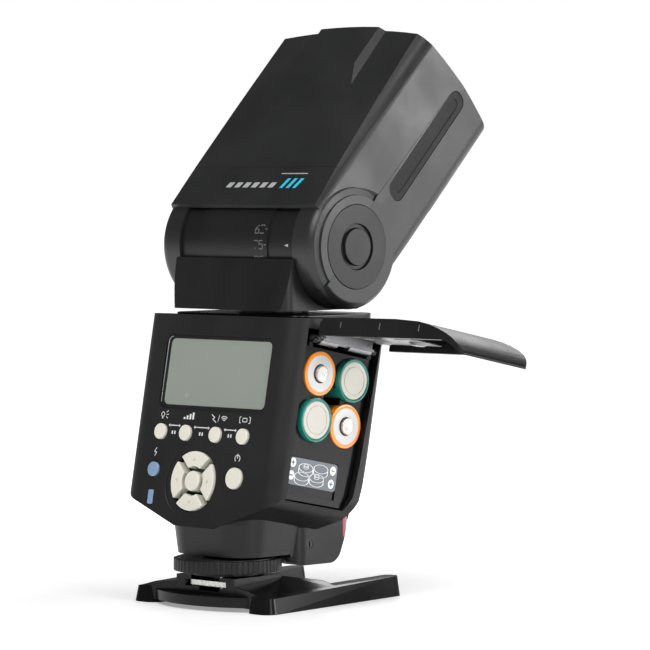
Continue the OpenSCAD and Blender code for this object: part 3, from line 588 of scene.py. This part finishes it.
def wrap_point(side):
    """Points (y, z) on the round corner at the +X side (1) or the other one (-1)."""
    def place(y, z, w):
        x = CORNER_X + math.sqrt((CORNER_R + w) ** 2 - (y - CORNER_Y) ** 2)
        return Vector((side * x, y, z))
    return place


def front_point(x, z, w):
    return Vector((x, base_front(z) + w, z))


def wrap_quads(columns=5):
    """Quads from the side of the base to its front, following its slope."""
    quads = []
    for z0, z1 in zip(COVER_Z, COVER_Z[1:]):
        deep0, deep1 = base_front(z0) - WRAP_Y, base_front(z1) - WRAP_Y
        for k in range(columns):
            f0, f1 = k / columns, (k + 1) / columns
            quads.append([(WRAP_Y + deep0 * f0, z0), (WRAP_Y + deep0 * f1, z0),
                          (WRAP_Y + deep1 * f1, z1), (WRAP_Y + deep1 * f0, z1)])
    return quads


for side, tag in ((1, "r"), (-1, "l")):
    inlay("sensor_wrap_" + tag, wrap_quads(), wrap_point(side), -0.1, 0.06, "red_window",
          "chassis")
front = []
for z0, z1 in ((COVER_Z[0], COVER_Z[2]), (COVER_Z[2], COVER_Z[3])):
    front += rect(-COVER_HALF, z0, COVER_HALF, z1)
inlay("sensor_front", front, front_point, -0.1, 0.06, "red_window", "chassis")


# ------------------------------------------------------------------ abstract badge on the head
def head_top(u, v, w):
    """On the sloping top of the head; v runs forward from the badge's foot."""
    foot, start, height, slope = 2.6, -2.6, 22.1, 1.1 / 16.6
    a = v + foot
    return head_at(u, a, height + (a - start) * slope + w)


bars = [slant(-12.5 + k * 3.9, 2.4, 4.6, 2.4, 0.8) for k in range(6)]
slashes = [slant(12.6 + k * 3.0, 2.2, 6.4, 1.4, 1.6) for k in range(3)]
inlay("badge_bars", bars, head_top, -0.02, 0.02, "print_grey", "head")
inlay("badge_slashes", slashes, head_top, -0.02, 0.02, "print_cyan", "head")
inlay("badge_line", rect(9.8, 8.3, 21.8, 8.7), head_top, -0.02, 0.02, "print_grey", "head")


# ------------------------------------------------------------------ angle numbers on the barrel
# strokes of the digits, 1 wide and 2 high
DIGIT = {
    "0": [[(0, 0), (1, 0), (1, 2), (0, 2), (0, 0)]],
    "4": [[(0.75, 0), (0.75, 2), (0, 0.7), (1, 0.7)]],
    "5": [[(1, 2), (0, 2), (0, 1.15), (0.9, 1.15), (1, 0.2), (0.8, 0), (0, 0)]],
    "6": [[(0.9, 2), (0, 1.1), (0, 0), (1, 0), (1, 1), (0, 1)]],
    "7": [[(0, 2), (1, 2), (0.3, 0)]],
    "9": [[(0.1, 0), (1, 0.9), (1, 2), (0, 2), (0, 1), (1, 1)]],
}
DIGIT_W, DIGIT_H, DIGIT_STEP = 1.6, 1.4, 2.3     # size of one digit unit and the step between them


def barrel_at(u, v, w):
    """u along the barrel, v round it in mm from its rear line."""
    t = v / BARREL_R
    r = BARREL_R + w
    return Vector((u, TILT_Y - r * math.cos(t), TILT_Z + r * math.sin(t)))


def index_at(u, v, w):
    """On the narrower end of the barrel, 0.45 mm lower."""
    return barrel_at(u, v, w - 0.45)


numbers = []
for text, deg in (("0", -62), ("45", 62), ("60", 17), ("75", 2), ("90", -13)):
    middle = math.radians(deg) * BARREL_R
    for k, digit in enumerate(text):
        for line in DIGIT[digit]:
            numbers += path([(8.2 + k * DIGIT_STEP + DIGIT_W * x, middle + DIGIT_H * (y - 1))
                             for x, y in line], 0.28)
    numbers += [seg(12.6, middle, 13.7, middle, 0.26)]
inlay("tilt_numbers", numbers, barrel_at, -0.05, 0.02, "print_dim", "swivel")
index = [(21.6, 0.6), (23.4, 1.1), (23.4, 0.1)]
inlay("tilt_index", [index], index_at, -0.05, 0.02, "print_grey", "swivel")


# ------------------------------------------------------------------ lens with straight prisms
def prism_lens():
    """A flat lens, prisms across it, whose steep sides face away from its middle line."""
    count, p0, p1, middle = 44, -15.0, 17.0, 1.0
    half_w, back, valley, ridge = 30.3, 72.6, 74.75, 75.15
    step = (p1 - p0) / count
    profile = []
    for i in range(count):
        p = p0 + step * i
        share = 0.9 if p + step / 2 > middle else 0.1
        profile += [(valley, p), (ridge, p + step * share)]
    profile += [(valley, p1), (back, p1), (back, p0)]
    bm = bmesh.new()
    ends = [[bm.verts.new(head_at(x, a, p) * MM) for a, p in profile] for x in (-half_w, half_w)]
    join_rows(bm, ends)
    bm.faces.new(ends[0][::-1])
    bm.faces.new(ends[1])
    bmesh.ops.triangulate(bm, faces=[f for f in bm.faces if len(f.verts) > 4])
    bmesh.ops.recalc_face_normals(bm, faces=bm.faces)
    return add_piece(obj_from("lens_prisms", bm, M["clear"], smooth=False), "head")


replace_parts(prism_lens(), "fresnel_lens")

# ------------------------------------------------------------------ rivets and ribs of the door
RIVET = [(0, 0.0), (1.6, 0.0), (1.9, 0.3), (1.2, 0.75), (0, 0.85)]
RIVET_Z = -8.6           # seat of the rivet heads, in the leaning frame


def rivet_at(x, y):
    def place(a, b, c):
        return body_at(x + a, y + b, RIVET_Z - c)
    return place


for k, x in enumerate((44.0, 59.0)):
    for j, y in enumerate((-9.0, 6.3)):
        lathe("door_rivet_%d%d" % (k, j), RIVET, rivet_at(x, y), "brass", "door", 20)
for k, x in enumerate((46.6, 63.7, 80.6)):
    rib = [body_at(x, -18.02, -5.9), body_at(x - 0.1, -18.03, -8.0)]
    tube("door_tick_%d" % k, rib, 0.16, "steel_dark", "door", sides=6)


# ------------------------------------------------------------------ floor
def floor_mat():
    """White, glowing more with the distance in metres from the object, so that it has no edge."""
    m, nt, shader = new_mat("floor_white")
    tc = nt.nodes.new("ShaderNodeTexCoord")
    away = nt.nodes.new("ShaderNodeVectorMath")
    away.operation = "LENGTH"
    nt.links.new(tc.outputs["Object"], away.inputs[0])
    glow = ramp(nt, away.outputs["Value"], 0.30, 1.0, 0.06, 0.34)
    shader.inputs["Base Color"].default_value = (0.90, 0.90, 0.90, 1)
    nt.links.new(ramp(nt, noise(nt, 6, 2), 0.28, 0.36), shader.inputs["Roughness"])
    shader.inputs["Emission Color"].default_value = (1, 1, 1, 1)
    nt.links.new(glow, shader.inputs["Emission Strength"])
    return m


bm = bmesh.new()
bmesh.ops.create_grid(bm, x_segments=1, y_segments=1, size=30.0)
obj_from("floor", bm, floor_mat())

# ------------------------------------------------------------------ world: white, but dim as a light
world = bpy.data.worlds.new("studio")
bpy.context.scene.world = world
world.use_nodes = True
nt = world.node_tree
seen = nt.nodes["Background"]
lit = nt.nodes.new("ShaderNodeBackground")
for node, strength in ((seen, 1.0), (lit, 0.10)):
    node.inputs["Color"].default_value = (1, 1, 1, 1)
    node.inputs["Strength"].default_value = strength
rays = nt.nodes.new("ShaderNodeLightPath")
mix = nt.nodes.new("ShaderNodeMixShader")
nt.links.new(rays.outputs["Is Camera Ray"], mix.inputs["Fac"])
nt.links.new(lit.outputs["Background"], mix.inputs[1])
nt.links.new(seen.outputs["Background"], mix.inputs[2])
nt.links.new(mix.outputs["Shader"], nt.nodes["World Output"].inputs["Surface"])

# ------------------------------------------------------------------ camera at the photograph's angle
AZIMUTH, ELEVATION, ROLL = math.radians(43.5), math.radians(2.35), math.radians(-0.1)
DISTANCE = 1.2                               # metres from the point it looks at
TARGET = Vector((0.0235, 0.0223, 0.093))
FOCAL, FRAME_W, SENSOR = 3625.0, 650, 36     # focal length and frame width in pixels, sensor in mm

back = Vector((math.sin(AZIMUTH) * math.cos(ELEVATION), -math.cos(AZIMUTH) * math.cos(ELEVATION),
               math.sin(ELEVATION)))
right = Vector((math.cos(AZIMUTH), math.sin(AZIMUTH), 0))
up = back.cross(right)
rolled_right = right * math.cos(ROLL) + up * math.sin(ROLL)
rolled_up = -right * math.sin(ROLL) + up * math.cos(ROLL)
cam_data = bpy.data.cameras.new("camera")
cam_data.sensor_width = SENSOR
cam_data.lens = FOCAL * SENSOR / FRAME_W
cam_data.clip_start = 0.01
cam_data.clip_end = 80
cam = bpy.data.objects.new("camera", cam_data)
pose = Matrix((rolled_right, rolled_up, back)).transposed().to_4x4()
pose.translation = TARGET + back * DISTANCE
cam.matrix_world = pose
bpy.context.scene.collection.objects.link(cam)
bpy.context.scene.camera = cam


# ------------------------------------------------------------------ lights: metres and watts
def area(name, loc, target, size, power, size_y=None):
    """A soft box at loc that faces target."""
    d = bpy.data.lights.new(name, "AREA")
    d.energy = power
    d.size = size
    if size_y:
        d.shape = "RECTANGLE"
        d.size_y = size_y
    o = bpy.data.objects.new(name, d)
    o.location = loc
    o.rotation_euler = (Vector(target) - Vector(loc)).to_track_quat("-Z", "Y").to_euler()
    bpy.context.scene.collection.objects.link(o)


MIDDLE = (0.0, 0.02, 0.1)
area("key", (0.25, -0.75, 0.95), MIDDLE, 0.45, 9.5)
area("side_box", (0.80, 0.68, 0.27), (0.03, 0.04, 0.15), 0.5, 4.6, 0.26)
area("corner_strip", (0.98, -0.22, 0.25), MIDDLE, 0.12, 3.0, 0.9)
area("ring_top", (0.78, 0.02, 0.92), MIDDLE, 0.22, 1.6)
area("overhead", (0.1, -0.05, 1.1), MIDDLE, 0.6, 2.5)
area("front_fill", (-0.5, 0.9, 0.6), MIDDLE, 0.6, 3.0)
bpy.context.scene.view_settings.view_transform = "Standard"
